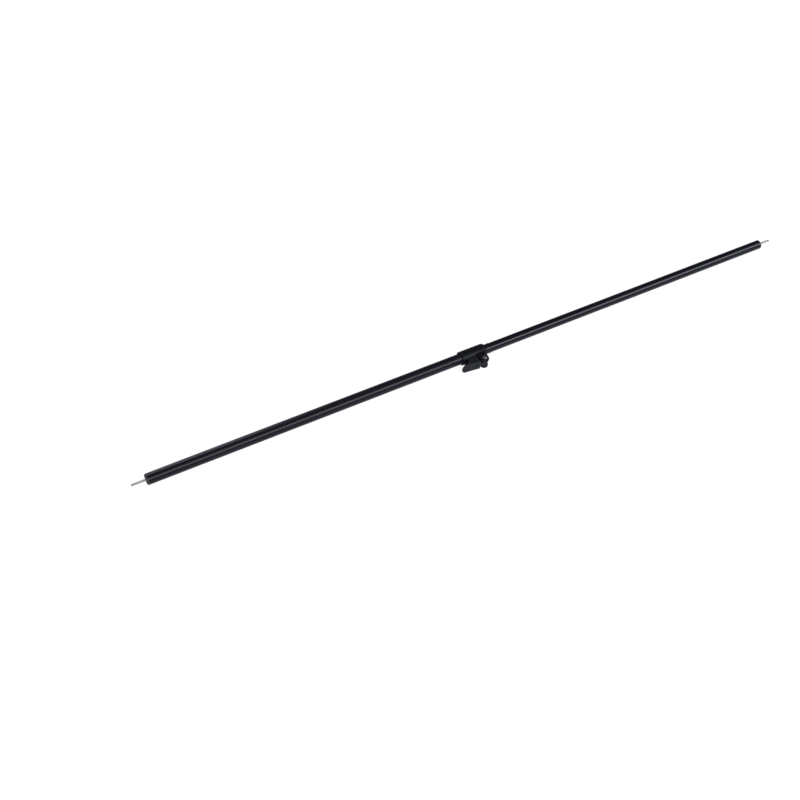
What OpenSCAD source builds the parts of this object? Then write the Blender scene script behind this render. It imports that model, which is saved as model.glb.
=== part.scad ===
// Two-section telescopic spigot pole with a cam lever clamp, in millimetres.
// The pole lies along +X. The origin is the middle of the outer tube's butt end,
// where the butt spigot leaves it. The clamp's ears and lever point along -Y,
// and the lever turns on an upright pivot, parallel to Z.

/* [Tubes] */
// Outside diameter of the outer tube
outer_d = 25; // [25:0.5:28]
// Wall of both tubes
wall = 1; // [0.8:0.1:1.2]
// Gap between the tubes, on the radius
tube_gap = 0.5; // [0.5:0.1:1]
// Length of the outer tube
outer_len = 797; // [600:1:1200]
// Distance from the butt end to the tip end, as the pole is set
set_len = 1645; // [1300:1:1900]
// Length of the inner tube
inner_len = 923; // [600:1:1000]

/* [Spigots] */
// Diameter of the free pin
pin_d = 5; // [4:0.5:6]
// Length of the free pin
pin_len = 34; // [25:1:60]
// Diameter of the shank that is held in the plug
shank_d = 6.5; // [6.5:0.5:8]
// Length of the shank
shank_len = 24; // [15:1:26]

/* [End plugs] */
// Length of each plug inside its tube
plug_len = 28; // [28:1:40]
// Depth of the plug's face below the tube's end
plug_recess = 1.2; // [0.8:0.1:2]
// Diameter of the boss round the spigot
boss_d = 10; // [9:0.5:12]

/* [Clamp body] */
// Length of the collar
body_len = 65; // [63:1:80]
// Outside diameter of the collar
body_d = 32; // [31:0.5:34]
// Depth of the outer tube in the collar
tube_seat = 34; // [33:1:35]
// Roundness of the collar's rim where the outer tube goes in
body_round = 1.2; // [0.8:0.2:2]
// Length of the tapering shoulder at the collar's other end
shoulder_len = 7; // [4:0.5:8]
// Distance over the outer faces of the two ears
ear_span = 24; // [23:0.5:25]
// Thickness of each ear
ear_t = 4.5; // [4:0.5:5]
// Radius of the ears round the pivot
ear_r = 9.7; // [9:0.1:10]
// Width of each ear at its root
ear_root = 24.5; // [22:0.5:25]

/* [Pivot] */
// Pivot's place along the collar
pivot_x = 46; // [45:0.5:47]
// Pivot's distance from the pole's axis
pivot_out = 30; // [29.5:0.5:31]
// Diameter of the pivot bolt
bolt_d = 5; // [4:0.5:5]
// Outside diameter of the spacer bush in the lever's hub
bush_d = 7; // [6.5:0.5:7.5]

/* [Lever and cam] */
// Radius of the cam where it presses, with the lever closed
cam_high = 9.5; // [9.3:0.1:9.7]
// Radius of the cam where it faces the shoe, with the lever open
cam_low = 8.3; // [8:0.1:8.5]
// Full swing of the lever
lever_swing = 150; // [120:5:160]
// Width of the lever's plate
plate_w = 24.4; // [22:0.2:25]
// Distance over the lever's side walls
lever_w = 20; // [19:0.5:21]
// Thickness of the plate and the side walls
lever_t = 2.6; // [2.2:0.1:3]
// How far the finger tab passes the collar's end
tab_over = 12.8; // [9:0.2:14]

/* [Liner sleeve] */
// Length that stands out of the collar
liner_out = 14; // [8:1:30]
// Length inside the outer tube
liner_in = 25; // [15:1:30]

/* [Hidden] */
$fn = 96;

fit = 0.05;      // radial clearance of a running fit and of a seat
gap = 0.3;       // space between flat faces that move past each other
cam_gap = 0.2;   // space between the cam, the shoe and the sleeve
eps = 0.1;       // overlap of a cutter with the air round a solid

// Tubes
outer_r = outer_d / 2;
outer_bore_r = outer_r - wall;
inner_r = outer_bore_r - tube_gap;
inner_bore_r = inner_r - wall;
inner_x = set_len - inner_len;
rim_edge = 0.25; // broken edge of a cut tube end

// Clamp body
body_x = outer_len - tube_seat;
body_r = body_d / 2;
flange_t = 1.5;                          // liner's flange, at the end of the outer tube
liner_r = outer_bore_r - fit;
liner_bore_r = inner_r + fit;
flange_end = tube_seat + flange_t + gap;
ear_out = ear_span / 2;
ear_in = ear_out - ear_t;
head_sink = 2.5;                         // depth of the round pocket in each ear
pocket_r = 6.3;
shoulder_drop = 4;                       // how far the shoulder tapers in, on the radius
liner_gap = 0.15;                        // radial gap between the liner and the collar
screw_places = [9, 24];                  // along the collar, on the side away from the ears
screw_r = 1.75;
screw_head_r = 3.6;
screw_head_t = 1.6;
screw_head_round = 1.2;
recess_l = 4;                            // cross recess in the screw's head
recess_w = 0.8;
recess_deep = 0.9;

// Shoe, in its window under the cam
shoe_len = 14;
shoe_w = 12;
pad_t = 1.5;
pad_r = liner_r + cam_gap;
shoe_out = pivot_out - cam_high - cam_gap;

// Cam: its radius falls evenly as the lever opens, so the shoe backs off evenly
cam_step = 5;

// Lever
arm_end = -17;                           // web's far side, from the pivot
arm_near = -13;                          // web's near side, clear of the ears
plate_end = pivot_x + arm_near;          // plate's end beside the ears, along the collar
plate_end_out = 35.6;                    // plate's outer face there
plate_slope = 0.1034;                    // how fast the plate comes nearer towards the tab
tab_round_r = 16;                        // roundness of the tab's corners
wall_start = 9;                          // tall side walls begin here, along the collar
wall_in = 12;                            // their inner edge, from the axis
rib_start = -6.5;                        // low ribs on the tab begin here
rib_h = 5.6;                             // height of those ribs on the plate
rib_nose = 2.5;                          // length of the slant at their beginning
rib_fillet = 6;                          // hollow corner between a rib and its tall wall
arm_h = 4.6;                             // half the arm's height along the pivot
web_in = 22;                             // cross web's inner edge, from the axis
body_clear = 0.6;                        // between the side walls and the collar

// Washers, bolt and nut, as heights from the pivot's middle
washer_r = 5;
washer_t = 0.8;
washer_base = ear_out - head_sink + fit;
washer_top = washer_base + washer_t;
head_r = 4.6;
head_rim = 0.6;                          // height of the bolt head's straight rim
head_t = 2.6;
hex_flats = 3;                           // hexagon socket in the head
hex_deep = 1.6;
bolt_end = 15.2;
bolt_tip = 0.6;                          // chamfer at the thread's end
nut_flats = 8;
nut_hex_t = 3;
nut_t = 4.6;
nut_round_r = 3.7;
insert_r = 3.3;
insert_t = 1.15;
insert_sink = 0.2;                       // how far the ring goes into the hexagon

// Glide ring and stop plug at the inner tube's inner end
ring_len = 7.4;
neck_r = 9;
stop_flange_t = 3;

// Plate's outer face, from the axis, at a place along the collar
function plate_out(x) = plate_end_out - plate_slope * (plate_end - x);

function cam_r(angle) = angle < 90 - lever_swing ? cam_low
    : cam_high - (cam_high - cam_low) * (90 - angle) / lever_swing;

// Point where a line from p touches the circle of radius r round c
function touch_point(p, c, r, side) =
    let (d = norm(p - c), a = atan2(p[1] - c[1], p[0] - c[0]) + side * acos(r / d))
    [c[0] + r * cos(a), c[1] + r * sin(a)];

// Points of a quarter round about [cx, cy], rx wide and ry high, from an angle onwards
function quarter(cx, cy, rx, ry, from) =
    [for (i = [0 : 6]) [cx + rx * cos(from + i * 15), cy + ry * sin(from + i * 15)]];

// Turns an outline of [radius, distance] about the pole's axis
module turned(points) {
    rotate([90, 0, 90]) rotate_extrude() polygon(points);
}

// A cylinder along the pole's axis
module along(r, from, to) {
    translate([from, 0, 0]) rotate([0, 90, 0]) cylinder(r = r, h = to - from);
}

// A tube along the pole's axis with broken edges
module tube(r, bore, from, to) {
    turned([[bore, from], [r - rim_edge, from], [r, from + rim_edge],
            [r, to - rim_edge], [r - rim_edge, to], [bore, to]]);
}

// Carries the clamp's own frame: x along the collar, y outward through the ears
module at_clamp() {
    translate([body_x, 0, 0]) mirror([0, 1, 0]) children();
}

// Carries the pivot's frame, with y from the pivot towards the pole
module at_pivot() {
    translate([body_x + pivot_x, -pivot_out, 0]) children();
}

module outer_tube() {
    color([0.07, 0.07, 0.08])
    difference() {
        tube(outer_r, outer_bore_r, 0, outer_len);
        for (x = screw_places)
            translate([body_x + x, outer_bore_r - 2, 0])
                rotate([-90, 0, 0]) cylinder(r = screw_r + fit, h = 4);
    }
}

module inner_tube() {
    color([0.08, 0.08, 0.09])
    tube(inner_r, inner_bore_r, inner_x, set_len);
}

// Plug in a tube's end, with its outer face at x = 0 and its body along +x
module end_plug(tube_bore_r) {
    barb = 0.6;
    r = tube_bore_r - fit;
    turned([[0, plug_len], [r - 1, plug_len], [r, plug_len - 2],
            [r, plug_len - 8], [r - barb, plug_len - 8], [r - barb, plug_len - 10],
            [r, plug_len - 10], [r, plug_len - 16], [r - barb, plug_len - 16],
            [r - barb, plug_len - 18], [r, plug_len - 18], [r, plug_recess + 0.4],
            [r - 0.4, plug_recess], [boss_d / 2, plug_recess],
            [boss_d / 2 - 0.4, 0], [shank_d / 2 + fit, 0],
            [shank_d / 2 + fit, shank_len + gap], [0, shank_len + gap]]);
}

// Steel pin: a thick shank in the plug and a free pin with a rounded end
module spigot() {
    tip = 1;
    turned(concat([[0, shank_len], [shank_d / 2 - 0.5, shank_len],
                   [shank_d / 2, shank_len - 0.5], [shank_d / 2, 0.2],
                   [shank_d / 2 - 0.2, 0], [pin_d / 2, 0]],
                  [for (i = [0 : 5]) [pin_d / 2 - tip + tip * cos(i * 18),
                                      tip - pin_len - tip * sin(i * 18)]],
                  [[0, -pin_len]]));
}

// Places a butt-end piece at the tip end, facing the other way
module at_tip() {
    translate([set_len, 0, 0]) mirror([1, 0, 0]) children();
}

module butt_plug() { color([0.05, 0.05, 0.055]) end_plug(outer_bore_r); }
module butt_spigot() { color([0.75, 0.75, 0.74]) spigot(); }
module tip_plug() { color([0.05, 0.05, 0.055]) at_tip() end_plug(inner_bore_r); }
module tip_spigot() { color([0.75, 0.75, 0.74]) at_tip() spigot(); }

// Outline of an ear from the side: a round end on a tapering root
module ear_outline() {
    c = [pivot_x, pivot_out];
    left = [pivot_x - ear_root / 2, 8];
    right = [pivot_x + ear_root / 2, 8];
    circle(r = ear_r);
    polygon([left - c, touch_point(left, c, ear_r, -1) - c,
             touch_point(right, c, ear_r, 1) - c, right - c]);
}

module clamp_body() {
    color([0.1, 0.1, 0.105])
    difference() {
        union() {
            at_clamp() turned(concat(
                [[0, 0]], quarter(body_r - body_round, body_round, body_round, body_round, -90),
                quarter(body_r - shoulder_drop, body_len - shoulder_len, shoulder_drop, shoulder_len, 0),
                [[0, body_len]]));
            at_clamp() for (side = [-1, 1])
                translate([pivot_x, pivot_out, side > 0 ? ear_in : -ear_out])
                    linear_extrude(ear_t) ear_outline();
        }
        // Seat of the outer tube and the liner's flange, then the way for the liner
        at_clamp() along(outer_r + fit, -eps, flange_end);
        at_clamp() along(liner_r + liner_gap, flange_end - eps, body_len + eps);
        // Window for the shoe
        at_clamp() translate([pivot_x - shoe_len / 2 - gap, 0, -shoe_w / 2 - gap])
            cube([shoe_len + 2 * gap, body_r + 1, shoe_w + 2 * gap]);
        // Bolt hole and the pocket in each ear
        at_pivot() translate([0, 0, -ear_span]) cylinder(r = bolt_d / 2 + fit, h = 2 * ear_span);
        at_pivot() for (side = [0, 1])
            mirror([0, 0, side]) translate([0, 0, ear_out - head_sink]) cylinder(r = pocket_r, h = 5);
        // Screw holes
        for (x = screw_places)
            translate([body_x + x, outer_r - 1, 0])
                rotate([-90, 0, 0]) cylinder(r = screw_r + fit, h = body_r);
    }
}

// Pan-head screws that hold the collar on the outer tube
module body_screws() {
    color([0.55, 0.55, 0.56])
    for (x = screw_places)
        translate([body_x + x, 0, 0]) rotate([-90, 0, 0])
            difference() {
                union() {
                    translate([0, 0, outer_bore_r + fit])
                        cylinder(r = screw_r, h = body_r - outer_bore_r);
                    translate([0, 0, body_r + fit])
                        rotate_extrude() polygon(concat([[0, 0], [screw_head_r, 0]],
                            [for (i = [0 : 5]) [screw_head_r - screw_head_round * (1 - cos(i * 18)),
                                                screw_head_t - screw_head_round * (1 - sin(i * 18))]],
                            [[0, screw_head_t]]));
                }
                for (turn = [0, 90]) rotate(turn)
                    translate([-recess_l / 2, -recess_w / 2, body_r + fit + screw_head_t - recess_deep])
                        cube([recess_l, recess_w, 2]);
            }
}

// Thin split sleeve that the shoe squeezes on to the inner tube
module liner_sleeve() {
    slit = 1.2;
    end = body_len + liner_out;
    bead = 0.35;
    color([0.09, 0.09, 0.095])
    at_clamp() difference() {
        turned([[liner_bore_r, tube_seat - liner_in], [liner_r, tube_seat - liner_in],
                [liner_r, tube_seat + gap / 2], [outer_r - 0.2, tube_seat + gap / 2],
                [outer_r - 0.2, tube_seat + gap / 2 + flange_t],
                [liner_r, tube_seat + gap / 2 + flange_t], [liner_r, end - 1.4],
                [liner_r + bead, end - 1.2], [liner_r + bead, end - 0.4],
                [liner_r, end], [liner_bore_r, end]]);
        translate([-eps, -outer_r - eps, -slit / 2]) cube([end + 1, outer_r / 2, slit]);
    }
}

// Block in the collar's window, between the cam and the pad
module pressure_shoe() {
    color([0.14, 0.14, 0.15])
    at_clamp() difference() {
        translate([pivot_x - shoe_len / 2, pad_r, -shoe_w / 2]) cube([shoe_len, shoe_out - pad_r, shoe_w]);
        along(pad_r + pad_t + fit, 0, body_len);
    }
}

module shoe_pad() {
    color([0.03, 0.03, 0.03])
    at_clamp() difference() {
        intersection() {
            along(pad_r + pad_t, pivot_x - shoe_len / 2, pivot_x + shoe_len / 2);
            translate([0, 0, -shoe_w / 2]) cube([body_len, body_r, shoe_w]);
        }
        along(pad_r, 0, body_len);
    }
}

// The lever's hub with the cam, seen along the pivot
module hub_outline() {
    polygon([for (a = [-180 : cam_step : 90]) [cam_r(a) * cos(a), cam_r(a) * sin(a)]]);
}

// The arm from the web to the hub, seen along the pivot
module arm_outline() {
    polygon([[arm_end, 4.5], [-7, 7], [-2, 7.5], [-2.4, -7.9], [-12.5, -5.4], [arm_end, -5]]);
}

// Cross-section of the plate, in the clamp's frame
module plate_outline() {
    far = -tab_over - 1;
    polygon([[plate_end, plate_out(plate_end)], [plate_end, plate_out(plate_end) - lever_t],
             [far, plate_out(far) - lever_t], [far, plate_out(far)]]);
}

// A side wall: tall beside the collar, and a low rib on the finger tab
module wall_outline() {
    top = lever_t + rib_h;
    polygon([[wall_start, wall_in], [plate_end, wall_in],
             [plate_end, plate_out(plate_end) - lever_t / 2],
             [rib_start, plate_out(rib_start) - lever_t / 2],
             [rib_start, plate_out(rib_start) - lever_t - rib_h / 3],
             [rib_start + rib_nose, plate_out(rib_start + rib_nose) - top],
             for (i = [0 : 5])
                 [wall_start - rib_fillet + rib_fillet * sin(i * 18),
                  plate_out(wall_start) - top - rib_fillet + rib_fillet * cos(i * 18)]]);
}

// Lever: a channel with a finger tab at one end and the cam's hub at the other
module cam_lever() {
    hub_h = ear_in - gap;
    color([0.12, 0.12, 0.125])
    difference() {
        union() {
            // Plate, rounded at the finger tab
            at_clamp() intersection() {
                translate([0, 0, -plate_w / 2]) linear_extrude(plate_w) plate_outline();
                union() {
                    translate([tab_round_r - tab_over, 20, 0]) rotate([-90, 0, 0])
                        cylinder(r = tab_round_r, h = 20);
                    translate([tab_round_r - tab_over, 20, -plate_w])
                        cube([plate_end, 20, 2 * plate_w]);
                }
            }
            // Side walls
            at_clamp() for (side = [0, 1]) mirror([0, 0, side])
                translate([0, 0, lever_w / 2 - lever_t]) linear_extrude(lever_t) wall_outline();
            // Cross web beside the ears
            at_clamp() translate([0, 0, -lever_w / 2]) linear_extrude(lever_w)
                polygon([[pivot_x + arm_end, web_in], [plate_end, web_in],
                         [plate_end, plate_end_out - 1], [pivot_x + arm_end, plate_end_out - 1.5]]);
            // Hub and arm, between the ears
            at_pivot() translate([0, 0, -hub_h]) linear_extrude(2 * hub_h) hub_outline();
            at_pivot() translate([0, 0, -arm_h]) linear_extrude(2 * arm_h) arm_outline();
        }
        at_pivot() translate([0, 0, -ear_span]) cylinder(r = bush_d / 2 + fit, h = 2 * ear_span);
        // The walls follow the collar
        along(body_r + body_clear, body_x - 30, body_x + body_len);
    }
}

module hub_bush() {
    color([0.6, 0.6, 0.6])
    at_pivot() difference() {
        translate([0, 0, -ear_in + fit]) cylinder(r = bush_d / 2, h = 2 * (ear_in - fit));
        translate([0, 0, -ear_span]) cylinder(r = bolt_d / 2 + fit, h = 2 * ear_span);
    }
}

module pivot_washers() {
    color([0.68, 0.68, 0.68])
    at_pivot() for (side = [0, 1]) mirror([0, 0, side])
        translate([0, 0, washer_base]) difference() {
            cylinder(r = washer_r, h = washer_t);
            translate([0, 0, -1]) cylinder(r = bolt_d / 2 + 3 * fit, h = 4);
        }
}

// Button head under the lower ear, thread end above the nut
module pivot_bolt() {
    head_base = washer_top + fit;
    dome_r = head_r - 2.2;
    color([0.7, 0.7, 0.7])
    at_pivot() difference() {
        union() {
            translate([0, 0, -head_base])
                cylinder(r = bolt_d / 2, h = head_base + bolt_end - bolt_tip);
            translate([0, 0, bolt_end - bolt_tip])
                cylinder(r1 = bolt_d / 2, r2 = bolt_d / 2 - bolt_tip, h = bolt_tip);
            translate([0, 0, -head_base]) mirror([0, 0, 1])
                rotate_extrude() polygon(concat([[0, 0], [head_r, 0], [head_r, head_rim]],
                    [for (i = [1 : 5]) [dome_r + 2.2 * cos(i * 18),
                                        head_rim + (head_t - head_rim) * sin(i * 18)]],
                    [[0, head_t]]));
        }
        translate([0, 0, -head_base - head_t - 1])
            cylinder(r = hex_flats / sqrt(3), h = hex_deep + 1, $fn = 6);
    }
}

module lock_nut() {
    color([0.72, 0.72, 0.72])
    at_pivot() translate([0, 0, washer_top + fit]) difference() {
        union() {
            cylinder(r = nut_flats / sqrt(3), h = nut_hex_t, $fn = 6);
            translate([0, 0, nut_hex_t]) cylinder(r = nut_round_r, h = nut_t - nut_hex_t);
        }
        translate([0, 0, -1]) cylinder(r = bolt_d / 2 + fit, h = nut_t + 2);
        translate([0, 0, nut_hex_t - insert_sink]) cylinder(r = insert_r, h = insert_t + 3 * fit);
    }
}

// Nylon ring held in the nut
module nut_insert() {
    color([0.2, 0.3, 0.6])
    at_pivot() translate([0, 0, washer_top + 2 * fit + nut_hex_t - insert_sink]) difference() {
        cylinder(r = insert_r - fit, h = insert_t);
        translate([0, 0, -1]) cylinder(r = bolt_d / 2 + fit, h = 4);
    }
}

// Plug in the inner tube's inner end; its neck carries the glide ring
module stop_plug() {
    r = inner_bore_r - fit;
    neck_x = inner_x - ring_len - 2 * gap;
    color([0.2, 0.2, 0.21])
    turned([[0, neck_x - stop_flange_t], [inner_r - 0.6, neck_x - stop_flange_t],
            [inner_r, neck_x - stop_flange_t + 0.6], [inner_r, neck_x], [neck_r, neck_x],
            [neck_r, inner_x - fit], [r, inner_x - fit], [r, inner_x + 18],
            [r - 1, inner_x + 20], [0, inner_x + 20]]);
}

module glide_ring() {
    start = inner_x - gap - ring_len;
    r = outer_bore_r - fit;
    color([0.8, 0.8, 0.78])
    turned([[neck_r + fit, start], [r - 0.4, start], [r, start + 0.4],
            [r, start + ring_len - 0.4], [r - 0.4, start + ring_len],
            [neck_r + fit, start + ring_len]]);
}

outer_tube();
butt_plug();
butt_spigot();
clamp_body();
body_screws();
liner_sleeve();
pressure_shoe();
shoe_pad();
cam_lever();
hub_bush();
pivot_bolt();
lock_nut();
nut_insert();
pivot_washers();
inner_tube();
stop_plug();
glide_ring();
tip_plug();
tip_spigot();
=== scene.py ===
# %% [markdown]
# # A telescopic spigot pole
#
# The object is a slim black pole in two sections. A 25 mm tube carries a moulded collar, a 22 mm tube slides in
# it, and a lever with a cam on its hub squeezes a thin sleeve on to the inner tube. A steel pin stands out of
# each end.
#
# This script builds the looks round a finished CAD model. The sizes come from that model, so nothing is fitted by
# eye. Each step first says what the piece is and how it could be made, and then makes it.

# %% Load the frame
import math

import bmesh
import bpy
from mathutils import Matrix, Vector


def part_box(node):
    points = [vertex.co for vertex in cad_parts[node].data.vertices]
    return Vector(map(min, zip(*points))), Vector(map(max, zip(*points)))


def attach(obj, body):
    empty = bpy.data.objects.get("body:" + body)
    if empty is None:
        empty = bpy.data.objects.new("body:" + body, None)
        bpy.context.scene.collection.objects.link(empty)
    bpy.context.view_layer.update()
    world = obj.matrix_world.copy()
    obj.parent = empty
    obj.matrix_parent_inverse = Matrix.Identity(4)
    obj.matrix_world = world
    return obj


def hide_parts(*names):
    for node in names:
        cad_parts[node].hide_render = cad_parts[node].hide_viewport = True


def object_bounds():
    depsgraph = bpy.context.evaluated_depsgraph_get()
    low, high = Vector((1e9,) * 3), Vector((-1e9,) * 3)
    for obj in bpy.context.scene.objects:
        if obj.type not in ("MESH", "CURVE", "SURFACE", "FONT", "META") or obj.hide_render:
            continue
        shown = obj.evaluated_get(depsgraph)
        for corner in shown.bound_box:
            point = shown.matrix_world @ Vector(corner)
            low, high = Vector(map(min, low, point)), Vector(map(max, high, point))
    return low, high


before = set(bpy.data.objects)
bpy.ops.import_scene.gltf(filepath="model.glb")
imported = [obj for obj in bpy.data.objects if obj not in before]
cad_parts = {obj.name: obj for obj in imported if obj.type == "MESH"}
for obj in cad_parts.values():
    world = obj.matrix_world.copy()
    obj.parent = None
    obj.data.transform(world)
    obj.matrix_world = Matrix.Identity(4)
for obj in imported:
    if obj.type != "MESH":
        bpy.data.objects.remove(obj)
cad_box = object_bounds()
scene = bpy.context.scene
MM = 0.001
print("the CAD model measures", [round((b - a) / MM, 1) for a, b in zip(*cad_box)], "mm")

# %% [markdown]
# ## Places on the pole
#
# A node's box says where it is. The pole lies along X with the butt end at 0, the ears and the lever point to -Y,
# and the lever's pivot is parallel to Z. Everything below is placed from these few numbers.

# %% Places
outer_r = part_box("outer_tube")[1].z
outer_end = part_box("outer_tube")[1].x
inner_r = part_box("inner_tube")[1].z
inner_start, inner_end = (corner.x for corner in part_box("inner_tube"))
collar_start, collar_end = (corner.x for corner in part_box("clamp_body"))
collar_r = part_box("clamp_body")[1].z
washer_low, washer_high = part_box("pivot_washers")
pivot = (washer_low + washer_high) / 2
pivot.z = 0
OUTER, INNER = outer_r / MM, inner_r / MM
seat = outer_end / MM
print("collar from", round(collar_start / MM, 1), "to", round(collar_end / MM, 1), "mm, pivot at",
      tuple(round(v / MM, 2) for v in pivot))

# %% [markdown]
# ## Sizes that a box does not tell
#
# These are in millimetres, apart from WELD, which is how near in metres two corners are one. Parts that touch
# keep a small gap, so that two of their faces never lie in one plane.

# %% Sizes
WALL = 1.0
GAP = 0.05
WELD = 0.002 * MM
PIN_R, PIN_OUT, PIN_TIP = 2.5, 34.0, 1.0
SHANK_R, SHANK_LEN = 3.25, 24.0
PLUG_LEN, PLUG_FACE, BOSS_R = 28.0, 1.2, 5.0
GROOVES, GROOVE_WIDTH, GROOVE_DEPTH = (10.0, 18.0), 2.0, 0.6
SLEEVE_IN, SLEEVE_OUT, SLEEVE_SLIT = 25, 14, 1.2
print("tube walls", WALL, "mm, pins", 2 * PIN_R, "mm")

# %% [markdown]
# ## The camera
#
# The pole is 1.7 m long and 25 mm thick, so its own perspective gives the camera away: the butt end is nearer and
# looks thicker. The camera stands nearly four metres off, to the butt end's side and high up, and leans a little,
# because the pole lies rolled on the ground. The three directions of its frame are worked out from the angles and
# set as a matrix.

# %% Camera
look_at = Vector((822.0, 272.8, -468.9)) * MM
distance = 3.8335
azimuth, elevation, lean = (math.radians(d) for d in (-37.46, 49.55, 8.94))
level = Vector((math.cos(azimuth), math.sin(azimuth), 0))
back = Vector((math.sin(azimuth) * math.cos(elevation), -math.cos(azimuth) * math.cos(elevation),
               math.sin(elevation)))
upright = back.cross(level)
right = level * math.cos(lean) + upright * math.sin(lean)
up = upright * math.cos(lean) - level * math.sin(lean)
camera_data = bpy.data.cameras.new("camera")
camera_data.lens, camera_data.sensor_width = 66.3, 36
camera_data.clip_start, camera_data.clip_end = 0.05, 200
camera = bpy.data.objects.new("camera", camera_data)
camera.matrix_world = Matrix.LocRotScale(look_at + back * distance, Matrix((right, up, back)).transposed(), None)
scene.collection.objects.link(camera)
scene.camera = camera
print("the camera stands at", tuple(round(v, 2) for v in camera.location), "m")

# %% [markdown]
# ## Shader maths in Python
#
# A finish is a small program made of nodes. Written node by node it is long and hard to read, so one class wraps
# an output and gives it Python's own signs: `gloss + mask * 0.3` adds the two Math nodes. Every other node comes
# from one function, which takes the node's type, its settings and what goes into its sockets.

# %% Wires and finishes
def new_node(tree, kind, settings, values, out):
    """Adds a node to a tree, sets it up and returns one of its outputs."""
    new = tree.nodes.new(kind)
    for name, value in settings.items():
        setattr(new, name, value)
    for socket, value in values.items():
        if isinstance(value, bpy.types.NodeSocket):
            tree.links.new(value, new.inputs[socket])
        else:
            new.inputs[socket].default_value = value
    return new.outputs[out]


class Wire:
    """One output of a shader node, with Python's signs for the Math nodes."""

    def __init__(self, finish, socket):
        self.finish, self.socket = finish, socket

    def maths(self, operation, *values):
        return self.finish.node("ShaderNodeMath", {"operation": operation}, dict(enumerate(values)))

    def __add__(self, other):
        return self.maths("ADD", self, other)

    def __sub__(self, other):
        return self.maths("SUBTRACT", self, other)

    def __mul__(self, other):
        return self.maths("MULTIPLY", self, other)

    def __abs__(self):
        return self.maths("ABSOLUTE", self)

    __radd__ = __add__
    __rmul__ = __mul__


class Finish:
    """A material: a Principled shader with its fixed numbers, and the nodes that vary over the surface."""

    def __init__(self, name, **fixed):
        self.material = bpy.data.materials.new(name)
        self.material.use_nodes = True
        self.tree = self.material.node_tree
        self.shader = self.tree.nodes["Principled BSDF"]
        for socket, value in fixed.items():
            self.shader.inputs[socket.replace("_", " ")].default_value = value
        self.place = self.node("ShaderNodeTexCoord", out="Object")

    def node(self, kind, settings={}, values={}, out=0):
        values = {name: value.socket if isinstance(value, Wire) else value for name, value in values.items()}
        return Wire(self, new_node(self.tree, kind, settings, values, out))

    def along(self, axis):
        """Distance along X, Y or Z, in metres."""
        return self.node("ShaderNodeSeparateXYZ", values={0: self.place}, out=axis)

    def from_axis(self):
        """Distance from the pole's axis, in metres."""
        flat = self.node("ShaderNodeVectorMath", {"operation": "MULTIPLY"}, {0: self.place, 1: (0, 1, 1)})
        return self.node("ShaderNodeVectorMath", {"operation": "LENGTH"}, {0: flat}, out="Value")

    def noise(self, scale, stretch=(1, 1, 1), detail=2.0, rough=0.5):
        """Noise around 0.5, with `scale` grains to the metre, drawn out where `stretch` is below 1."""
        drawn = self.node("ShaderNodeMapping", values={"Vector": self.place, "Scale": [scale * s for s in stretch]})
        return self.node("ShaderNodeTexNoise",
                         values={"Vector": drawn, "Scale": 1.0, "Detail": detail, "Roughness": rough})

    def step(self, value, low, high):
        """0 below low, 1 above high, and a soft step between them."""
        return self.node("ShaderNodeMapRange", {"interpolation_type": "SMOOTHSTEP"},
                         {"Value": value, "From Min": low, "From Max": high})

    def rim_wear_and_highlight(self, from_rim, ragged, grain):
        """1 at a rim and 0 from about half a millimetre on, with a border as ragged as that, in millimetres. It marks
        paler rims, which are worn ones and painted highlights.
        """
        return self.step(from_rim + ragged * MM * self.noise(grain), 0.7 * MM, 0.3 * MM)

    def blend(self, share, first, second):
        """From the first colour to the second."""
        return self.node("ShaderNodeMix", {"data_type": "RGBA"}, {0: share, 6: first, 7: second}, out=2)

    def colour(self, value):
        self.tree.links.new(value.socket, self.shader.inputs["Base Color"])

    def roughness(self, value):
        self.tree.links.new(value.socket, self.shader.inputs["Roughness"])

    def relief(self, height, depth):
        """A bump whose full height is `depth` metres."""
        bump = self.node("ShaderNodeBump", values={"Height": height, "Distance": depth, "Strength": 1.0},
                         out="Normal")
        self.tree.links.new(bump.socket, self.shader.inputs["Normal"])


def shade(level, tint=0.0):
    """A near-black or grey, a little colder for a positive tint."""
    return (level * (1 - 0.15 * tint), level, level * (1 + tint), 1.0)

# %% [markdown]
# ## The coating of the tubes
#
# Both tubes are drawn aluminium under a thin black coating with a satin gloss. Close up it has two textures: the
# long fine lines of the drawing, and the slight orange peel of the coating. Both are noise in the object's own
# metres, so they are as fine here as on the real thing, and the lines are the same noise drawn out along X. The
# inner tube has also been slid through its sleeve, which leaves a few fine bright lines.

# %% Tube coatings
def tube_coating(name, black, gloss, shine, rims, rub_and_highlight=0.0):
    """rims are the places of the two cut ends along X, and rubbed is how much the sleeve's marks show."""
    coat = Finish(name, Specular_IOR_Level=shine)
    drawn_lines = coat.noise(2200, stretch=(0.0025, 1, 1), detail=3)
    peel = coat.noise(900, detail=1)
    handling = coat.noise(18, stretch=(0.4, 1, 1), detail=4, rough=0.6)
    ground = coat.blend(handling, shade(black * 0.85, 0.35), shade(black * 1.15, 0.3))
    # bare metal shows where a cut end has lost its coating, and the pale rim is also a painted highlight, the light
    # that a rim's edge catches
    start, end = (abs(coat.along("X") - rim) for rim in rims)
    from_rim = start.maths("MINIMUM", start, end)
    wear_and_highlight = coat.rim_wear_and_highlight(from_rim, 0.4, 700)
    marks = coat.step(coat.noise(1500, stretch=(0.006, 1, 1), detail=1), 0.70, 0.76) * rub_and_highlight
    rubbed_ground = coat.blend(marks, ground, shade(0.06))
    # paler rims: partly worn coating, partly a painted highlight
    coat.colour(coat.blend(wear_and_highlight * 0.6, rubbed_ground, shade(0.22)))
    coat.roughness(gloss + 0.05 * (handling - 0.5) + 0.04 * (drawn_lines - 0.5) - 0.05 * marks)
    coat.relief(drawn_lines * 0.5 + peel, 0.003 * MM)
    return coat.material


outer_coat = tube_coating("outer_tube_coating", 0.0095, 0.26, 0.30, (0.0, outer_end))
inner_coat = tube_coating("inner_tube_coating", 0.0080, 0.15, 0.40, (inner_start, inner_end), rub_and_highlight=0.3)
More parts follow.
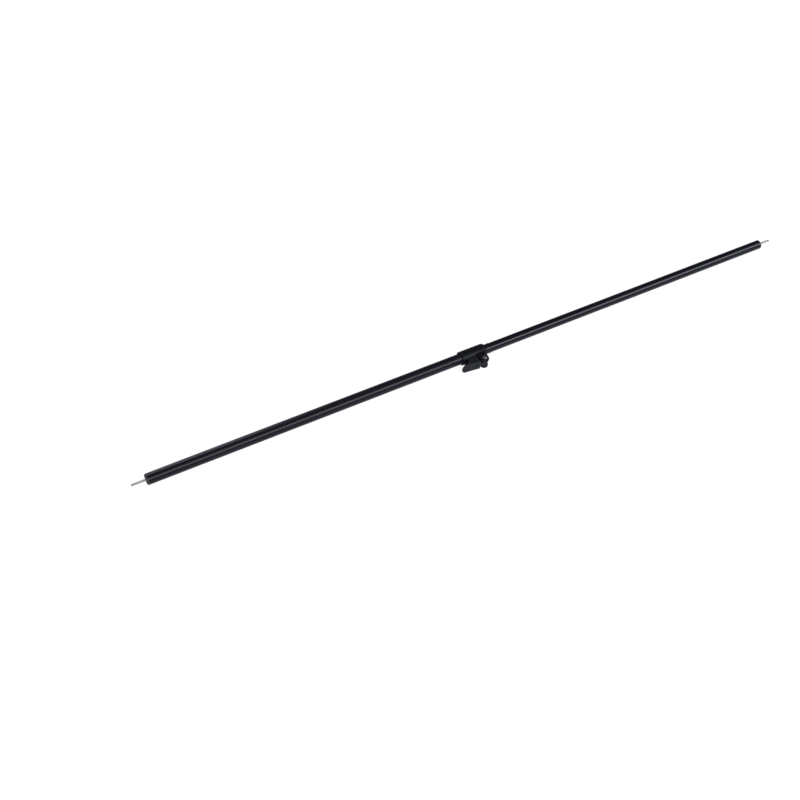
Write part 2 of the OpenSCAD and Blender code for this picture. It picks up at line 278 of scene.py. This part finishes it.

# %% [markdown]
# ## Moulded plastics
#
# The collar, the lever, the sleeve and the plugs are injection moulded nylon. Its tool is spark-eroded, so the
# surface has an even fine grain that breaks up a highlight. Nylon with glass fibre also shows faint cloudy
# patches. Edges that hands and straps rub get smoother and a little paler, and they are painted paler still, as a
# painted highlight along the edges. The mesh carries an attribute called edge_wear_and_highlight for that, which
# the mould's node tree measures, so the finish only has to read it. The boss on each plug gets a paler ring at
# its rim, which is a painted highlight.

# %% Plastics
def moulded_plastic(name, black, gloss, grain=2600, grain_depth=0.02, tint=0.1, wear_and_highlight_gain=0.0, specular=0.22,
                    boss=None):
    """grain_depth is in millimetres, and boss is the radius in millimetres of a paler ring round the axis, a painted
    highlight.
    """
    nylon = Finish(name, Specular_IOR_Level=specular)
    spark_grain = nylon.noise(grain, detail=1)
    clouds = nylon.noise(120, detail=3)
    ground = nylon.blend(clouds, shade(black * 0.85, tint), shade(black * 1.15, tint))
    rub_and_highlight = nylon.node("ShaderNodeAttribute", {"attribute_name": "edge_wear_and_highlight"}, out="Fac") * wear_and_highlight_gain
    if boss:
        # a painted highlight: the boss's rim round the pin is painted paler
        rub_and_highlight = nylon.rim_wear_and_highlight(abs(nylon.from_axis() - boss * MM), 0.3, 900) * 0.7
    # paler edges: partly wear, partly a painted highlight along the edges
    nylon.colour(nylon.blend(rub_and_highlight, ground, shade(black * 2.5 + 0.07, tint)))
    nylon.roughness(gloss + 0.10 * (clouds - 0.5) + 0.08 * (spark_grain - 0.5) - 0.10 * rub_and_highlight)
    nylon.relief(spark_grain, grain_depth * MM)
    return nylon.material


# the collar's and the lever's edges are painted paler, partly as wear and partly as a painted highlight
collar_nylon = moulded_plastic("collar_nylon", 0.006, 0.42, tint=0.35, wear_and_highlight_gain=0.9)
lever_nylon = moulded_plastic("lever_nylon", 0.012, 0.46, tint=0.25, wear_and_highlight_gain=0.8)
sleeve_nylon = moulded_plastic("sleeve_nylon", 0.008, 0.26, grain=1800, grain_depth=0.004, tint=0.2, specular=0.4)
plug_nylon = moulded_plastic("plug_nylon", 0.007, 0.48, boss=BOSS_R)
glide_nylon = moulded_plastic("glide_nylon", 0.70, 0.42, tint=-0.06)
insert_nylon = moulded_plastic("insert_nylon", 0.55, 0.35, tint=-0.03)
pad_rubber = moulded_plastic("pad_rubber", 0.014, 0.78, grain=1500, grain_depth=0.04, specular=0.3)

# %% [markdown]
# ## Steel
#
# The pins and the fasteners are zinc-plated steel. A pin is drawn wire, so its lines run along it, while a bolt
# or a nut is turned and pressed and has an even, slightly cloudy plating. Metal has almost no colour of its own,
# and all of its look comes from how sharply it reflects, so only the roughness varies much. A dull plating is
# partly plain grey, which a metal share below 1 gives. The washers are blackened, so they hardly show in their
# pockets.

# %% Steels
def plated_steel(name, pale, gloss, stretch=(1, 1, 1), lines=0.10, metal=1.0):
    """pale is the grey's level, and lines is how much the drawing or the turning varies the roughness."""
    steel = Finish(name, Metallic=metal)
    drawn = steel.noise(3200, stretch=stretch, detail=3)
    clouds = steel.noise(260, detail=3)
    steel.colour(steel.blend(clouds, shade(pale * 0.85, -0.02), shade(pale, -0.06)))
    steel.roughness(gloss + lines * (drawn - 0.5) + 0.12 * (clouds - 0.5))
    steel.relief(drawn, 0.004 * MM)
    return steel.material


pin_steel = plated_steel("pin_steel", 0.50, 0.40, stretch=(0.01, 1, 1), lines=0.2, metal=0.65)
fastener_steel = plated_steel("fastener_steel", 0.38, 0.34, metal=0.8)
washer_steel = plated_steel("washer_steel", 0.05, 0.42)

# %% [markdown]
# ## Geometry Nodes in Python
#
# Three of the shapes here follow a rule: a turned part is a section carried round an axis, a moulded part is a
# shape whose edges are all rounded, and a row of screws is one screw at several places. Geometry Nodes fit that.
# A small class adds nodes in the way that Finish does, and `made` runs a tree on a mesh and gives the plain mesh
# that comes out.

# %% Trees
class Tree:
    """A Geometry Nodes tree under construction."""

    def __init__(self, name, **inputs):
        self.group = bpy.data.node_groups.new(name, "GeometryNodeTree")
        self.group.interface.new_socket("Geometry", in_out="INPUT", socket_type="NodeSocketGeometry")
        for label, kind in inputs.items():
            self.group.interface.new_socket(label, in_out="INPUT", socket_type="NodeSocket" + kind)
        self.group.interface.new_socket("Geometry", in_out="OUTPUT", socket_type="NodeSocketGeometry")
        self.inputs = self.group.nodes.new("NodeGroupInput").outputs

    def node(self, kind, settings={}, values={}, out=0):
        return new_node(self.group, kind, settings, values, out)

    def close(self, geometry):
        """Ends the tree: instances made real, a smooth shade, and the finish set."""
        real = self.node("GeometryNodeRealizeInstances", values={0: geometry})
        smooth = self.node("GeometryNodeSetShadeSmooth", values={0: real})
        finished = self.node("GeometryNodeSetMaterial", values={0: smooth, "Material": self.inputs["Finish"]})
        self.group.links.new(finished, self.group.nodes.new("NodeGroupOutput").inputs[0])


def apply_modifiers(piece):
    """Gives a piece the plain mesh that its modifiers make."""
    piece.data = bpy.data.meshes.new_from_object(piece.evaluated_get(bpy.context.evaluated_depsgraph_get()))
    piece.modifiers.clear()


def as_mesh(name, shell):
    """Turns a bmesh into a mesh and frees it."""
    mesh = bpy.data.meshes.new(name)
    shell.to_mesh(mesh)
    shell.free()
    return mesh


def made(name, mesh, tree, **inputs):
    """Runs a tree on a mesh and returns an object that holds the result as a plain mesh."""
    piece = bpy.data.objects.new(name, mesh)
    scene.collection.objects.link(piece)
    modifier = piece.modifiers.new(tree.group.name, "NODES")
    modifier.node_group = tree.group
    for item in tree.group.interface.items_tree:
        if item.name in inputs:
            modifier[item.identifier] = inputs[item.name]
    apply_modifiers(piece)
    piece.data.name = name
    print(f"{name}: {sum(len(p.vertices) - 2 for p in piece.data.polygons)} triangles")
    return piece


def settle(piece, body, slot, *nodes):
    """A finished piece: it moves with a body and stands for its CAD nodes, which it hides. slot is not used."""
    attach(piece, body)
    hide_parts(*nodes)

# %% [markdown]
# ## The lathe
#
# The tubes, plugs, pins, washers and screws are all turned. Their section is drawn as a line of corners, each
# with its distance along the axis, its radius and how much it is rounded. Spin in mesh code could do it, but with
# a tree the rounding comes from Fillet Curve, which reads each corner's own radius from an attribute. Curve to
# Mesh then carries the section round a circle, or round an arc short of a full turn, which leaves the slit that
# the sleeve has.

# %% Lathe tree
HUB = 0.01 * MM
lathe = Tree("lathe", Segments="Int", Start="Float", Sweep="Float", Slit="Bool", Turn="Rotation", Place="Vector",
             Finish="Material")
corner_round = lathe.node("GeometryNodeInputNamedAttribute", values={"Name": "corner_round"})
section = lathe.node("GeometryNodeMeshToCurve", values={0: lathe.inputs["Geometry"]})
rounded = lathe.node("GeometryNodeFilletCurve", {"mode": "POLY"},
                     {0: section, "Radius": corner_round, "Count": 5, "Limit Radius": True})
full_turn = lathe.node("GeometryNodeCurvePrimitiveCircle",
                       values={"Resolution": lathe.inputs["Segments"], "Radius": HUB})
part_turn = lathe.node("GeometryNodeCurveArc",
                       values={"Resolution": lathe.inputs["Segments"], "Radius": HUB,
                               "Start Angle": lathe.inputs["Start"], "Sweep Angle": lathe.inputs["Sweep"]})
way_round = lathe.node("GeometryNodeSwitch", {"input_type": "GEOMETRY"},
                       {"Switch": lathe.inputs["Slit"], "False": full_turn, "True": part_turn})
turned = lathe.node("GeometryNodeCurveToMesh",
                    values={0: way_round, "Profile Curve": rounded, "Fill Caps": lathe.inputs["Slit"]})
welded = lathe.node("GeometryNodeMergeByDistance", values={0: turned, "Distance": WELD})
placed = lathe.node("GeometryNodeTransform",
                    values={0: welded, "Rotation": lathe.inputs["Turn"], "Translation": lathe.inputs["Place"]})
lathe.close(placed)

# the turn that lays the lathe's own axis, -Z, along an axis of the pole
ALONG_X = (0, math.radians(-90), 0)
ALONG_Y = (math.radians(90), 0, 0)
ALONG_Z = (math.radians(180), 0, 0)


def facing_out(piece):
    """Turns every face outwards and keeps the broad faces flat beside narrow roundings."""
    shell = bmesh.new()
    shell.from_mesh(piece.data)
    bmesh.ops.remove_doubles(shell, verts=shell.verts, dist=WELD / 4)
    bmesh.ops.recalc_face_normals(shell, faces=shell.faces)
    shell.to_mesh(piece.data)
    shell.free()
    piece.modifiers.new("even", "WEIGHTED_NORMAL").weight = 100
    apply_modifiers(piece)
    return piece


def turned_part(name, finish, corners, closed=False, place=(0, 0, 0), turn=ALONG_X, segments=96, slit=None):
    """corners are (along, radius, rounding) in millimetres. A closed section is a ring, an open one ends on the axis.

    slit is the middle and the width of an opening, in degrees.
    """
    points = [(radius * MM - HUB, along * MM, 0) for along, radius, _ in corners]
    edges = [(i, i + 1) for i in range(len(points) - 1)] + ([(len(points) - 1, 0)] if closed else [])
    mesh = bpy.data.meshes.new(name)
    mesh.from_pydata(points, edges, [])
    mesh.attributes.new("corner_round", "FLOAT", "POINT").data.foreach_set("value", [c[2] * MM for c in corners])
    middle, width = slit or (0.0, 0.0)
    part = made(name, mesh, lathe, Segments=segments, Slit=slit is not None,
                Start=math.radians(middle + width / 2), Sweep=math.radians(360.0 - width),
                Turn=turn, Place=Vector(place), Finish=finish)
    return facing_out(part)

# %% [markdown]
# ## The two tubes
#
# A tube is the simplest turned part: a ring's section, 1 mm thick and most of a metre long. Its ends are sawn and
# only lightly broken, so the rounding there is a quarter of a millimetre.

# %% Tubes
def tube(name, finish, start, end, radius):
    section = [(start, radius - WALL, 0.15), (start, radius, 0.25), (end, radius, 0.25), (end, radius - WALL, 0.15)]
    return turned_part(name, finish, section, closed=True, segments=128)


settle(tube("outer_tube_drawn", outer_coat, 0.0, seat, OUTER), "outer_section", "tube_coating", "outer_tube")
settle(tube("inner_tube_drawn", inner_coat, inner_start / MM, inner_end / MM, INNER),
       "tip_section", "tube_coating", "inner_tube")

# %% [markdown]
# ## The end plugs and the pins
#
# A plug is pushed into each tube's end. Its face is a little below the tube's rim, with a low boss round the pin,
# and two grooves round it give it some spring. The pin has a thick shank in the plug and a free end of 5 mm with
# a well rounded tip. Both are the same part at the two ends, so one function draws them, from the tube's end
# inwards, and the tip's are drawn the other way round.

# %% Plugs and pins
def end_set(name, body, tube_end, inward, plug_r):
    def at(depth, radius, rounding=0.0):
        return (tube_end + inward * depth, radius, rounding)

    bore, floor_of_bore = SHANK_R + GAP, SHANK_LEN + 0.3
    plug = [at(floor_of_bore, 0.0), at(floor_of_bore, bore, 0.1), at(0.0, bore, 0.1), at(0.0, BOSS_R, 0.45),
            at(PLUG_FACE, BOSS_R, 0.4), at(PLUG_FACE, plug_r, 0.35)]
    for groove in GROOVES:
        low = plug_r - GROOVE_DEPTH
        plug += [at(groove, plug_r, 0.1), at(groove, low, 0.1),
                 at(groove + GROOVE_WIDTH, low, 0.1), at(groove + GROOVE_WIDTH, plug_r, 0.3)]
    plug += [at(PLUG_LEN - 2.0, plug_r, 0.3), at(PLUG_LEN, plug_r - 1.0, 0.4), at(PLUG_LEN, 0.0)]
    settle(turned_part(name + "_plug_moulded", plug_nylon, plug), body, "plug_plastic", name + "_plug")
    pin = [at(SHANK_LEN, 0.0), at(SHANK_LEN, SHANK_R, 0.4), at(0.0, SHANK_R, 0.2), at(0.0, PIN_R, 0.15),
           at(-PIN_OUT, PIN_R, PIN_TIP), at(-PIN_OUT, 0.0)]
    settle(turned_part(name + "_pin_drawn", pin_steel, pin, segments=64), body, "spigot_steel", name + "_spigot")


end_set("butt", "outer_section", 0.0, 1, OUTER - WALL - GAP)
end_set("tip", "tip_section", inner_end / MM, -1, INNER - WALL - GAP)

# %% [markdown]
# ## The sleeve
#
# A thin split sleeve lines the collar and stands 14 mm out of it, where it ends in a fine bead. Its slit lets it
# close on the inner tube. It is a turned ring as well, only with an arc that stops short of a full turn.

# %% Sleeve
sleeve_r, sleeve_bore = OUTER - WALL - GAP, INNER + GAP
sleeve_start, sleeve_end = seat - SLEEVE_IN, collar_end / MM + SLEEVE_OUT
# a flange between the outer tube's end and the collar's step keeps it in place
flange_start, flange_end, flange_r = seat + 0.15, seat + 1.65, OUTER - 0.2
bead_start, bead_end, bead_r = sleeve_end - 1.2, sleeve_end - 0.4, sleeve_r + 0.35
sleeve = [(sleeve_start, sleeve_bore, 0.08), (sleeve_start, sleeve_r, 0.1),
          (flange_start, sleeve_r, 0.1), (flange_start, flange_r, 0.1),
          (flange_end, flange_r, 0.1), (flange_end, sleeve_r, 0.2),
          (sleeve_end - 1.5, sleeve_r, 0.2), (bead_start, bead_r, 0.2),
          (bead_end, bead_r, 0.2), (sleeve_end, sleeve_r, 0.1), (sleeve_end, sleeve_bore, 0.08)]
slit_width = math.degrees(SLEEVE_SLIT / sleeve_r)
settle(turned_part("liner_sleeve_moulded", sleeve_nylon, sleeve, closed=True, slit=(90.0, slit_width)),
       "outer_section", "liner_nylon", "liner_sleeve")

# %% [markdown]
# ## The moulded parts
#
# A moulded part has no sharp edge: the tool leaves every outer edge rounded and every inner corner filled a
# little. A Bevel modifier has to find its way round each corner where the collar meets its ears, and it breaks on
# the sharpest. Distance fields don't: the part is turned into a grid of distances to its surface, taken half a
# millimetre inwards and out again, which rounds what stands out, then a little outwards and in again, which fills
# what is hollow.
#
# The same tree measures how sharply the new surface turns. What is left of that above the small bends between two
# facets of a smooth face is blurred and stored as edge_wear_and_highlight for the finish, which paints those
# edges paler, partly as wear and partly as a painted highlight.

# %% Mould tree
mould = Tree("mould", Voxel="Float", Round="Float", Fillet="Float", Simplify="Float", Wear="Float",
             Finish="Material")
FACET_BENDS = 0.9


def regrown(mesh, offset, simplify=0.0):
    """The surface at a distance from a mesh: outside it for a positive one."""
    grid = mould.node("GeometryNodeMeshToSDFGrid",
                      values={0: mesh, "Voxel Size": mould.inputs["Voxel"], "Band Width": 6})
    return mould.node("GeometryNodeGridToMesh", values={0: grid, "Threshold": offset, "Adaptivity": simplify})


def summed(operation, first, second):
    return mould.node("ShaderNodeMath", {"operation": operation}, {0: first, 1: second})


shrunk = regrown(mould.inputs["Geometry"], summed("MULTIPLY", mould.inputs["Round"], -1.0))
swollen = regrown(shrunk, summed("ADD", mould.inputs["Round"], mould.inputs["Fillet"]))
final = regrown(swollen, summed("MULTIPLY", mould.inputs["Fillet"], -1.0), mould.inputs["Simplify"])
bend = mould.node("GeometryNodeInputMeshEdgeAngle", out="Signed Angle")
edge = mould.node("ShaderNodeMath", {"operation": "MULTIPLY_ADD", "use_clamp": True},
                  {0: bend, 1: mould.inputs["Wear"], 2: -FACET_BENDS})
share = mould.node("GeometryNodeBlurAttribute", {"data_type": "FLOAT"}, {0: edge, "Iterations": 4})
# sharp edges are marked to be painted paler: partly wear, partly a painted highlight
wear_and_highlight = mould.node("GeometryNodeStoreNamedAttribute", {"data_type": "FLOAT", "domain": "POINT"},
                  {0: final, "Name": "edge_wear_and_highlight", "Value": share})
mould.close(wear_and_highlight)


def moulded_part(node, finish, voxel=0.34, rounding=0.5, fillet=0.4, simplify=0.02, wear_and_highlight_gain=6.0):
    """A rounded copy of a CAD node. The node's loose triangles are merged in the copy first."""
    shell = bmesh.new()
    shell.from_mesh(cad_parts[node].data)
    bmesh.ops.remove_doubles(shell, verts=shell.verts, dist=WELD)
    return made(node + "_moulded", as_mesh(node, shell), mould, Voxel=voxel * MM, Round=rounding * MM,
                Fillet=fillet * MM, Simplify=simplify, Wear=wear_and_highlight_gain, Finish=finish)


settle(moulded_part("clamp_body", collar_nylon), "outer_section", "clamp_nylon", "clamp_body")
settle(moulded_part("cam_lever", lever_nylon, rounding=0.35), "lever", "lever_nylon", "cam_lever")
settle(moulded_part("pressure_shoe", sleeve_nylon, rounding=0.3, fillet=0.1, voxel=0.2),
       "shoe", "liner_nylon", "pressure_shoe")
settle(moulded_part("shoe_pad", pad_rubber, rounding=0.25, fillet=0.1, voxel=0.2), "shoe", "pad_rubber", "shoe_pad")

# %% [markdown]
# ## The fasteners
#
# The lever's pivot is a bolt with a button head under the lower ear and a lock nut on the upper one, each on a
# washer in a round pocket. The collar is held on its tube by two pan-head screws on the far side. All of them
# start on the lathe. What a six-sided bar and the turned blank share is the nut, and the heads get their
# recesses.

# %% Cutters
def bar(sides, across_flats, low, high, centre):
    """A straight bar along Z with that many sides, in millimetres."""
    radius = across_flats * MM / 2 / math.cos(math.pi / sides)
    mesh = bmesh.new()
    ring = [mesh.verts.new((centre.x + radius * math.cos(2 * math.pi * i / sides),
                            centre.y + radius * math.sin(2 * math.pi * i / sides), low * MM)) for i in range(sides)]
    rod = bmesh.ops.extrude_face_region(mesh, geom=[mesh.faces.new(ring)])
    top = [item for item in rod["geom"] if isinstance(item, bmesh.types.BMVert)]
    bmesh.ops.translate(mesh, vec=(0, 0, (high - low) * MM), verts=top)
    bmesh.ops.recalc_face_normals(mesh, faces=mesh.faces)
    return as_mesh("bar", mesh)


def block(size, centre):
    """A rectangular block, its size in millimetres."""
    mesh = bmesh.new()
    bmesh.ops.create_cube(mesh, size=1.0, matrix=Matrix.LocRotScale(centre, None, Vector(size) * MM))
    return as_mesh("block", mesh)


def cut(piece, cutter, operation, edge=0.12):
    """Cuts a piece with a mesh and breaks the edges that the cut leaves."""
    tool = bpy.data.objects.new("tool", cutter)
    scene.collection.objects.link(tool)
    boolean = piece.modifiers.new("cut", "BOOLEAN")
    boolean.operation, boolean.object, boolean.solver = operation, tool, "EXACT"
    bevel = piece.modifiers.new("edges", "BEVEL")
    bevel.width, bevel.segments, bevel.limit_method, bevel.angle_limit = edge * MM, 2, "ANGLE", math.radians(35)
    apply_modifiers(piece)
    bpy.data.objects.remove(tool)
    facing_out(piece)

# %% Nut and bolt
NUT_FLATS, HEX_KEY = 8.0, 3.0
BOLT_R, BOLT_TOP = 2.5, 15.2
HEAD_R, HEAD_H = 4.6, 2.6
washer_top = washer_high.z / MM

nut_foot = washer_top + GAP
nut = [(0, 2.55, 0.2), (0, 4.1, 0.2), (0.35, 4.75, 0), (2.55, 4.75, 0), (3.0, 3.95, 0.1), (3.0, 3.7, 0.1),
       (4.6, 3.7, 0.7), (4.6, 2.55, 0.25)]
nut_part = turned_part("lock_nut_pressed", fastener_steel, [(nut_foot + z, r, e) for z, r, e in nut], closed=True,
                       place=pivot, turn=ALONG_Z)
cut(nut_part, bar(6, NUT_FLATS, nut_foot - 1, nut_foot + 6, pivot), "INTERSECT")
settle(nut_part, "outer_section", "fastener_steel", "lock_nut")

head_foot = -washer_top - GAP
head_top = head_foot - HEAD_H
bolt = [(head_top, 0, 0), (head_top, 3.2, 1.2), (head_foot - 1.2, HEAD_R, 0.8), (head_foot, HEAD_R, 0.2),
        (head_foot, BOLT_R, 0.1), (BOLT_TOP, BOLT_R, 0.6), (BOLT_TOP, 0, 0)]
bolt_part = turned_part("pivot_bolt_pressed", fastener_steel, bolt, place=pivot, turn=ALONG_Z)
cut(bolt_part, bar(6, HEX_KEY, head_top - 1, head_foot - 1.0, pivot), "DIFFERENCE", edge=0.08)
settle(bolt_part, "outer_section", "fastener_steel", "pivot_bolt")

# %% [markdown]
# ## Rows of equal parts
#
# The two washers are one part in two places, and so are the two screws. A tree with Mesh Line and Instance on
# Points repeats any part in a row, and ends by making the instances real.

# %% Row tree
row = Tree("row", Count="Int", Step="Vector", Finish="Material")
places = row.node("GeometryNodeMeshLine", values={"Count": row.inputs["Count"], "Offset": row.inputs["Step"]})
row.close(row.node("GeometryNodeInstanceOnPoints", values={0: places, "Instance": row.inputs["Geometry"]}))


def pair(name, part, step, finish):
    repeated = made(name, part.data, row, Count=2, Step=Vector(step) * MM, Finish=finish)
    bpy.data.objects.remove(part)
    return facing_out(repeated)


# %% Washers
WASHER_FOOT, WASHER_R, WASHER_BORE = 9.55, 5.0, 2.65
washer = [(WASHER_FOOT, WASHER_BORE, 0.1), (WASHER_FOOT, WASHER_R, 0.15), (washer_top, WASHER_R, 0.25),
          (washer_top, WASHER_BORE, 0.1)]
one_washer = turned_part("one_washer", washer_steel, washer, closed=True, place=pivot, turn=ALONG_Z)
settle(pair("pivot_washers_pressed", one_washer, (0, 0, -WASHER_FOOT - washer_top), washer_steel),
       "outer_section", "fastener_steel", "pivot_washers")

# %% Screws
SCREW_R, SCREW_HEAD_R, SCREW_HEAD_H, SCREW_STEP = 1.75, 3.6, 1.6, 15
RECESS_LONG, RECESS_WIDE, RECESS_DEPTH = 4.0, 0.8, 0.9
screw_foot = OUTER - WALL + GAP
under_head = collar_r / MM + GAP
screw_top = under_head + SCREW_HEAD_H
first_screw = Vector((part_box("body_screws")[0].x + SCREW_HEAD_R * MM, 0, 0))
screw = [(screw_foot, 0, 0), (screw_foot, SCREW_R, 0.3), (under_head, SCREW_R, 0.1), (under_head, SCREW_HEAD_R, 0.15),
         (screw_top, SCREW_HEAD_R, 1.1), (screw_top, 0, 0)]
one_screw = turned_part("one_screw", fastener_steel, screw, place=first_screw, turn=ALONG_Y, segments=48)
cutter_height = 2.0
recess = first_screw + Vector((0, screw_top - RECESS_DEPTH + cutter_height / 2, 0)) * MM
for across, along in ((RECESS_LONG, RECESS_WIDE), (RECESS_WIDE, RECESS_LONG)):
    cut(one_screw, block((across, cutter_height, along), recess), "DIFFERENCE", edge=0.05)
settle(pair("body_screws_pressed", one_screw, (SCREW_STEP, 0, 0), fastener_steel),
       "outer_section", "fastener_steel", "body_screws")

# %% [markdown]
# ## What stays as it is
#
# The bush in the hub, the nylon ring in the nut, the glide ring and the plug at the inner tube's hidden end have
# their right shape already. They keep their CAD mesh and only get a finish.

# %% Finishes on CAD nodes
kept_nodes = {"hub_bush": fastener_steel, "nut_insert": insert_nylon, "glide_ring": glide_nylon,
              "stop_plug": plug_nylon}
for node, finish in kept_nodes.items():
    for material_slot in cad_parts[node].material_slots:
        material_slot.material = finish
print("kept from the CAD model:", ", ".join(kept_nodes))

# %% [markdown]
# ## The floor
#
# The pole lies on a plain pale floor, on its collar. In a studio such a floor is lit from below, like a light
# table, so that it stays white right up to a black object. A little emission does the same.

# %% Floor
FLOOR_HALF, FLOOR_DROP = 40, 0.02
floor_finish = Finish("pale_floor", Base_Color=shade(0.14), Roughness=0.9, Specular_IOR_Level=0.1,
                      Emission_Strength=0.93)
# a floor as bright as this would show too strongly in the black pole, so reflections see a darker, colder one
mirrored = floor_finish.node("ShaderNodeLightPath", out="Is Glossy Ray")
glow = floor_finish.blend(mirrored, shade(1.0), shade(0.43, 0.16))
floor_finish.tree.links.new(glow.socket, floor_finish.shader.inputs["Emission Color"])
sheet = bmesh.new()
bmesh.ops.create_grid(sheet, x_segments=1, y_segments=1, size=FLOOR_HALF)
bmesh.ops.translate(sheet, verts=sheet.verts, vec=(0, 0, cad_box[0].z - FLOOR_DROP * MM))
floor = bpy.data.objects.new("floor", as_mesh("floor", sheet))
floor.data.materials.append(floor_finish.material)
scene.collection.objects.link(floor)
print("the floor lies at", round(cad_box[0].z / MM - FLOOR_DROP, 2), "mm")

# %% [markdown]
# ## The light
#
# A black cylinder shows its lights as lines along it. The long strip above the camera gives the line along the
# middle, a low lamp behind the butt end gives the second line there, and the sky only fills, so it is kept out of
# reflections.

# %% Lights
COLD_WHITE = (0.93, 0.97, 1.1)


def softbox(name, place, aim, size, watts, yaw=0.0):
    """A rectangular lamp. yaw turns its long side away from X, in degrees."""
    data = bpy.data.lights.new(name, "AREA")
    data.color = COLD_WHITE
    data.shape, data.size, data.size_y, data.energy = "RECTANGLE", size[0], size[1], watts
    lamp = bpy.data.objects.new(name, data)
    away = (Vector(place) - Vector(aim)).normalized()
    across = Vector((math.cos(math.radians(yaw)), math.sin(math.radians(yaw)), 0))
    across = (across - away * across.dot(away)).normalized()
    turn = Matrix((across, away.cross(across), away)).transposed()
    lamp.matrix_world = Matrix.LocRotScale(Vector(place), turn, None)
    scene.collection.objects.link(lamp)
    print(name, watts, "W")


softbox("strip", (1.88, -1.66, 1.8), (0.85, 0, 0), (3.5, 1.4), 55, yaw=12)
softbox("kicker", (0.35, 1.7, 1.05), (0.2, 0, 0), (1.2, 1.5), 12)

world = bpy.data.worlds.new("sky")
world.use_nodes = True
sky = world.node_tree.nodes["Background"].inputs
sky["Color"].default_value = (1, 1, 1, 1)
sky["Strength"].default_value = 0.5
world.cycles_visibility.glossy = False
scene.world = world
scene.view_settings.view_transform = "Standard"
